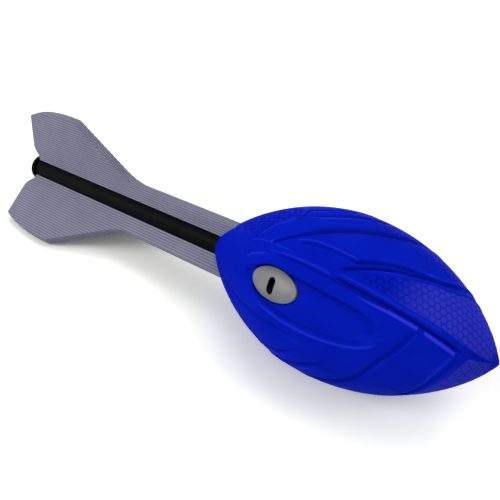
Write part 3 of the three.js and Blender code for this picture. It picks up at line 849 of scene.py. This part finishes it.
def body_skin():
    """The moulded body as a closed mesh of rings, with one sector's relief repeated."""
    moulded, attributes = moulded_sector()
    x, y, z = (moulded[:, k].reshape(BODY_ROWS, SECTOR_COLUMNS) for k in range(3))
    parts = []
    for k in range(SECTORS):
        c, s = math.cos(math.radians(k * SECTOR)), math.sin(math.radians(k * SECTOR))
        parts.append(np.stack([x, c * y - s * z, s * y + c * z], axis=-1))
    grid = np.concatenate(parts, axis=1)
    columns = SECTORS * SECTOR_COLUMNS
    points = np.vstack([grid.reshape(-1, 3), [(BODY_REAR, 0, 0), (NOSE, 0, 0)]])
    base = np.arange(BODY_ROWS - 1)[:, None] * columns
    here, there = np.arange(columns)[None, :], (np.arange(columns) + 1)[None, :] % columns
    quads = np.stack([base + here, base + columns + here, base + columns + there, base + there], axis=-1)
    faces = quads.reshape(-1, 4).tolist()
    last = (BODY_ROWS - 1) * columns
    rear_point, nose_point = len(points) - 2, len(points) - 1
    for k in range(columns):
        nxt = (k + 1) % columns
        faces.append((k, nxt, rear_point))
        faces.append((last + nxt, last + k, nose_point))
    thing = closed_object("foam_body_skin", points, faces)
    for name, values in attributes.items():
        around = np.tile(values.reshape(BODY_ROWS, SECTOR_COLUMNS), (1, SECTORS))
        mark(thing, name, np.append(around, (0.0, 0.0)), "POINT")
    return thing


def whistle_place(turn):
    """Matrix from a whistle's own frame (X along the toy, Z out of the body) to the toy's."""
    fore = radius_at(WHISTLE_ALONG + WHISTLE_HALF[0])
    aft = radius_at(WHISTLE_ALONG - WHISTLE_HALF[0])
    tilt = math.atan2(fore - aft, 2 * WHISTLE_HALF[0])
    reach = radius_at(WHISTLE_ALONG) - WHISTLE_SINK
    return (
        Matrix.Rotation(math.radians(turn), 4, "X")
        @ Matrix.Translation((WHISTLE_ALONG, 0, reach))
        @ Matrix.Rotation(-tilt, 4, "Y")
    )


def pocket(turn):
    """Cutter for a whistle's pocket, wider round the face than round the cup."""
    wide = [half + MOUTH_GAP for half in WHISTLE_HALF]
    snug = [half + FIT_GAP for half in WHISTLE_HALF]
    bottom = -FACE_RIM - CUP_DEPTH - 2 * FIT_GAP
    thing = oval_loft("pocket", [
        (0, 0, bottom), (*snug, bottom), (*snug, -FACE_RIM), (*wide, 0), (*wide, POCKET_TOP),
        (0, 0, POCKET_TOP),
    ])
    thing.data.transform(whistle_place(turn))
    return thing


FLOOR_CLEARANCE = 0.03


def pressed_flat(mesh):
    """Keeps the foam above the floor that it rests on."""
    places = np.empty(3 * len(mesh.vertices))
    mesh.vertices.foreach_get("co", places)
    places[2::3] = np.maximum(places[2::3], FLOOR_CLEARANCE * MM)
    mesh.vertices.foreach_set("co", places)
    mesh.update()


def make_body():
    body = body_skin()
    rear = BODY_REAR - CUT_OVERRUN
    cutters = [rod("bore", rear, TUBE_FRONT, TUBE_RADIUS + FIT_GAP, 48)]
    half = FIN_THICKNESS / 2 + FIT_GAP
    for k in range(SECTORS):
        slot = box_between("slot", (rear, -half, 0), (WEB_FRONT + FIT_GAP, half, WEB_REACH + FIT_GAP))
        slot.data.transform(Matrix.Rotation(math.radians(k * SECTOR), 4, "X"))
        cutters += [slot, pocket((k + 0.5) * SECTOR)]
    combined(body, cutters)
    finished(body, "foam_body_skin", FOAM_BLUE, "foam_body")
    pressed_flat(body.data)


# Tail


def fin_outline():
    """Outline of a fin in the plane of along and reach: the part's, with its rear corner rounded."""
    slope = (FIN_FRONT_TIP[1] - WEB_REACH) / (FIN_FLARE_START - FIN_FRONT_TIP[0])
    flare_top = (FIN_FLARE_START - FLARE_FILLET, WEB_REACH + slope * FLARE_FILLET)
    flare_end = (FIN_FLARE_START + FLARE_FILLET, WEB_REACH)
    points = [(FIN_ROOT[0], 0.0), FIN_ROOT, CORNER_ENDS[0]]
    points += bend_points(CORNER_ENDS[0], FIN_REAR_CORNER, CORNER_ENDS[1], 6)
    points += [FIN_REAR_TIP]
    points += bend_points(FIN_REAR_TIP, FIN_TIP_BULGE, FIN_FRONT_TIP, 20)
    points += [flare_top]
    points += bend_points(flare_top, (FIN_FLARE_START, WEB_REACH), flare_end, 12)
    points += [(WEB_FRONT, WEB_REACH), (WEB_FRONT, 0.0)]
    return points


def rib_depths(places, pitch):
    """How deep the grooves between ribs are at places across them, as heights below zero."""
    return -RIB_DEPTH * (0.5 - 0.5 * np.cos(2 * np.pi * places / pitch)) ** RIB_SHARPNESS


def ribbed_slab():
    """Slab of the fin's thickness with ribs along the toy, longer and deeper than the fin."""
    steps = 8
    heights = np.arange(0, SLAB_REACH, RIB_PITCH / steps)
    carved = rib_depths(heights, RIB_PITCH)
    across = FIN_THICKNESS / 2 + carved
    section = list(zip(across, heights)) + list(zip(-across[::-1], heights[::-1]))
    count = len(section)
    points = [(x, y, z) for x in (-SLAB_OVERRUN, WEB_FRONT + SLAB_OVERRUN) for y, z in section]
    faces = [(k, (k + 1) % count, count + (k + 1) % count, count + k) for k in range(count)]
    faces += [tuple(range(count))[::-1], tuple(range(count, 2 * count))]
    thing = closed_object("slab", points, faces)
    around = np.concatenate([carved, carved[::-1]])
    mark(thing, CARVED, np.append((around + np.roll(around, -1)) / 2 + RIB_TONE, (0.0, 0.0)), "FACE")
    return thing


def edged_prism(outline):
    """The outline given a little more than the fin's thickness, with ribs round its rounded edge."""
    half = FIN_THICKNESS / 2 + EDGE_MARGIN
    corners = np.array(outline)
    run = np.roll(corners, -1, axis=0) - np.roll(corners, 1, axis=0)
    inward = np.stack([run[:, 1], -run[:, 0]], axis=-1) / np.linalg.norm(run, axis=1)[:, None]
    levels = np.linspace(-half, half, EDGE_LEVELS)
    carved = rib_depths(levels + half, 2 * half / EDGE_RIBS)
    rounded = np.clip((np.abs(levels) - half + EDGE_ROUND) / EDGE_ROUND, 0, 1)
    insets = EDGE_ROUND * (1 - np.sqrt(1 - rounded**2)) - carved
    count = len(corners)
    points = [(x, y, z) for y, inset in zip(levels, insets) for x, z in corners + inward * inset]
    faces = [tuple(range(count)), tuple(range(len(points) - count, len(points)))[::-1]]
    marks = [0.0, 0.0]
    for ring in range(EDGE_LEVELS - 1):
        low = ring * count
        for k in range(count):
            nxt = (k + 1) % count
            faces.append((low + k, low + count + k, low + count + nxt, low + nxt))
            marks.append((carved[ring] + carved[ring + 1]) / 2 + RIB_TONE / 2)
    thing = closed_object("prism", points, faces)
    mark(thing, CARVED, marks, "FACE")
    return thing


def make_fins():
    fin = combined(ribbed_slab(), [edged_prism(fin_outline())], "INTERSECT")
    combined(fin, [rod("tunnel", -CUT_OVERRUN, WEB_FRONT + CUT_OVERRUN, TUBE_RADIUS + FIT_GAP, 64)])
    for k, name in enumerate(("fin_upper", "fin_lower_right", "fin_lower_left")):
        finished(copied(fin), name + "_sheet", FOAM_GREY, name, k * SECTOR, 40.0)
    bpy.data.objects.remove(fin)


def make_tube():
    inner = TUBE_RADIUS - TUBE_WALL
    edge = TUBE_RADIUS - TUBE_BEVEL
    tube = turned("tube", [
        (TUBE_REAR, inner), (TUBE_REAR, edge), (TUBE_REAR + TUBE_BEVEL, TUBE_RADIUS),
        (TUBE_FRONT - TUBE_BEVEL, TUBE_RADIUS), (TUBE_FRONT, edge), (TUBE_FRONT, inner), (TUBE_REAR, inner),
    ])
    finished(tube, "tail_tube_wall", TUBE_BLACK, "tail_tube")


def make_cap():
    shank = TUBE_RADIUS - TUBE_WALL - FIT_GAP
    shank_end = CAP_FRONT + CAP_SHANK_LENGTH
    profile = [(0.0, 0.0)] + [(along, CAP_FACE_RADIUS + past) for along, past in CAP_FACE_BEND]
    along, reach = profile[-1]
    steps = 6
    for k in range(1, steps + 1):
        share = k / steps
        profile.append((along + CAP_CROWN[0] * share**2, reach + CAP_CROWN[1] * share))
    rear_middle = (CAP_REAR_ROUND_ALONG, CAP_RADIUS - CAP_REAR_ROUND)
    front_middle = (CAP_FRONT - CAP_FRONT_ROUND, CAP_RADIUS - CAP_FRONT_ROUND)
    profile += arc_points(rear_middle, CAP_REAR_ROUND, 150, 90, 4)
    profile += arc_points(front_middle, CAP_FRONT_ROUND, 90, 0, 4)
    profile += [(CAP_FRONT, shank), (shank_end - CAP_SHANK_CHAMFER, shank)]
    profile += [(shank_end, shank - CAP_SHANK_CHAMFER), (shank_end, 0.0)]
    finished(turned("cap", profile), "end_cap_disc", TUBE_BLACK, "end_cap")


# Whistles


def slot_cutter():
    """Round-ended slot that widens below the face, so that only its edge is seen."""
    steps = 16
    points = []
    for height, spread in SLOT_LEVELS:
        radius = SLOT_WIDTH / 2 + spread
        for middle, start in ((SLOT_ENDS[0], 0), (-SLOT_ENDS[1], 180)):
            for k in range(steps + 1):
                angle = math.radians(start + 180 * k / steps)
                points.append((radius * math.cos(angle), middle + radius * math.sin(angle), height))
    count = 2 * (steps + 1)
    faces = [tuple(range(count))[::-1], tuple(range(len(points) - count, len(points)))]
    for low in range(0, len(points) - count, count):
        for k in range(count):
            nxt = (k + 1) % count
            faces.append((low + k, low + nxt, low + count + nxt, low + count + k))
    return closed_object("slot_cutter", points, faces)


def whistle_face():
    """Domed face with a rounded rim, a hollow skirt and a slot, in a whistle's own frame."""
    length, width = WHISTLE_HALF
    skirt = (length - SKIRT_INSET, width - SKIRT_INSET)
    bore = (skirt[0] - FACE_WALL, skirt[1] - FACE_WALL)
    dome_steps, round_steps, hollow_steps = 14, 4, 8
    ovals = [(0, 0, FACE_CROWN)]
    for k in range(1, dome_steps + 1):
        share = k / dome_steps
        height = FACE_CROWN * (1 - share ** FACE_CURVE[0]) ** FACE_CURVE[1]
        ovals.append(((length - FACE_ROUND) * share, (width - FACE_ROUND) * share, height))
    for k in range(1, round_steps + 1):
        angle = math.pi / 2 * k / round_steps
        inset = FACE_ROUND * (1 - math.sin(angle))
        ovals.append((length - inset, width - inset, -FACE_ROUND * (1 - math.cos(angle))))
    ovals += [(length, width, -FACE_RIM), (*skirt, -FACE_RIM), (*skirt, -FACE_RIM - SKIRT_DEPTH)]
    ovals += [(*bore, -FACE_RIM - SKIRT_DEPTH)]
    for k in range(hollow_steps, 0, -1):
        share = k / hollow_steps
        ovals.append((bore[0] * share, bore[1] * share, (FACE_CROWN - FACE_WALL) * (1 - share**2)))
    ovals.append((0, 0, FACE_CROWN - FACE_WALL))
    return combined(oval_loft("face", ovals, 96), [slot_cutter()])


def make_whistles():
    face = whistle_face()
    for k, side in enumerate(("right", "under", "left")):
        twin = copied(face)
        twin.data.transform(whistle_place((k + 0.5) * SECTOR))
        finished(twin, f"whistle_{side}_dome", PLASTIC_GREY, f"whistle_face_{side}")
    bpy.data.objects.remove(face)


make_body()
make_fins()
make_tube()
make_cap()
make_whistles()

# CAD nodes whose shapes stay as they are
KEPT = {
    "tube_anchor": PLASTIC_NATURAL,
    "anchor_pin": STEEL,
    "whistle_cup_right": INNER_BLACK,
    "whistle_cup_under": INNER_BLACK,
    "whistle_cup_left": INNER_BLACK,
}
for node, material in KEPT.items():
    for slot_entry in frame["nodes"][node].material_slots:
        slot_entry.material = material


# Floor, backdrop and light
WORLD_LIGHT = 0.54  # on the object, while the background shows at 1
FLOOR_SEEN = 1.54  # the floor's colour where it is seen, against its colour as it throws light back
FLOOR_HALF = 6.0  # half its width, in metres


def background_rays(tree):
    """1 for rays that show the background: from the camera, off a gloss or through something clear."""
    rays = tree.nodes.new("ShaderNodeLightPath").outputs
    seen = rays["Is Camera Ray"]
    for kind in ("Is Glossy Ray", "Is Transmission Ray"):
        either = tree.nodes.new("ShaderNodeMath")
        either.operation = "MAXIMUM"
        tree.links.new(seen, either.inputs[0])
        tree.links.new(rays[kind], either.inputs[1])
        seen = either.outputs[0]
    return seen


def floor_material():
    """Matt floor that is seen brighter than it lights the object."""
    n = Nodes("floor")
    speckle = n.noise(n.place(), 8.0)
    plain = n.ramp(speckle, (0.81, 0.81, 0.765, 1), (0.83, 0.83, 0.785, 1))
    colour = n.dimmed(plain, n.span(background_rays(n.tree), 1.0, FLOOR_SEEN))
    diffuse = n.add("BsdfDiffuse", {"Color": colour, "Roughness": 1.0}).outputs["BSDF"]
    n.tree.links.new(diffuse, n.output.inputs["Surface"])
    return n.material


def make_floor():
    size = FLOOR_HALF
    corners = [(-size, -size, 0), (size, -size, 0), (size, size, 0), (-size, size, 0)]
    floor = loose_object("floor", corners, [(0, 1, 2, 3)])
    floor.data.materials.append(floor_material())


def make_world():
    world = bpy.data.worlds.new("studio")
    bpy.context.scene.world = world
    world.use_nodes = True
    tree = world.node_tree
    tree.nodes.clear()
    strength = tree.nodes.new("ShaderNodeMapRange")
    strength.inputs["To Min"].default_value = WORLD_LIGHT
    strength.inputs["To Max"].default_value = 1.0
    tree.links.new(background_rays(tree), strength.inputs["Value"])
    background = tree.nodes.new("ShaderNodeBackground")
    background.inputs["Color"].default_value = (1, 1, 1, 1)
    tree.links.new(strength.outputs["Result"], background.inputs["Strength"])
    output = tree.nodes.new("ShaderNodeOutputWorld")
    tree.links.new(background.outputs["Background"], output.inputs["Surface"])


def make_lamp(name, place, aim, size, power):
    data = bpy.data.lights.new(name, "AREA")
    data.shape = "DISK"
    data.size = size
    data.energy = power
    lamp = bpy.data.objects.new(name, data)
    bpy.context.collection.objects.link(lamp)
    lamp.location = place
    direction = Vector(aim) - Vector(place)
    lamp.rotation_euler = direction.to_track_quat("-Z", "Y").to_euler()


make_floor()
make_world()

# Places and sizes in metres, powers in watts
make_lamp("overhead", place=(-0.05, 0.4, 1.3), aim=(0, 0, 0), size=1.2, power=6.3)
make_lamp("ahead", place=(1.0, 0.2, 1.15), aim=(0.1, 0, 0.04), size=0.5, power=2.5)
make_lamp("left", place=(-0.9, -1.2, 0.75), aim=(0, 0, 0.05), size=0.8, power=13.0)

bpy.context.scene.view_settings.view_transform = "Standard"
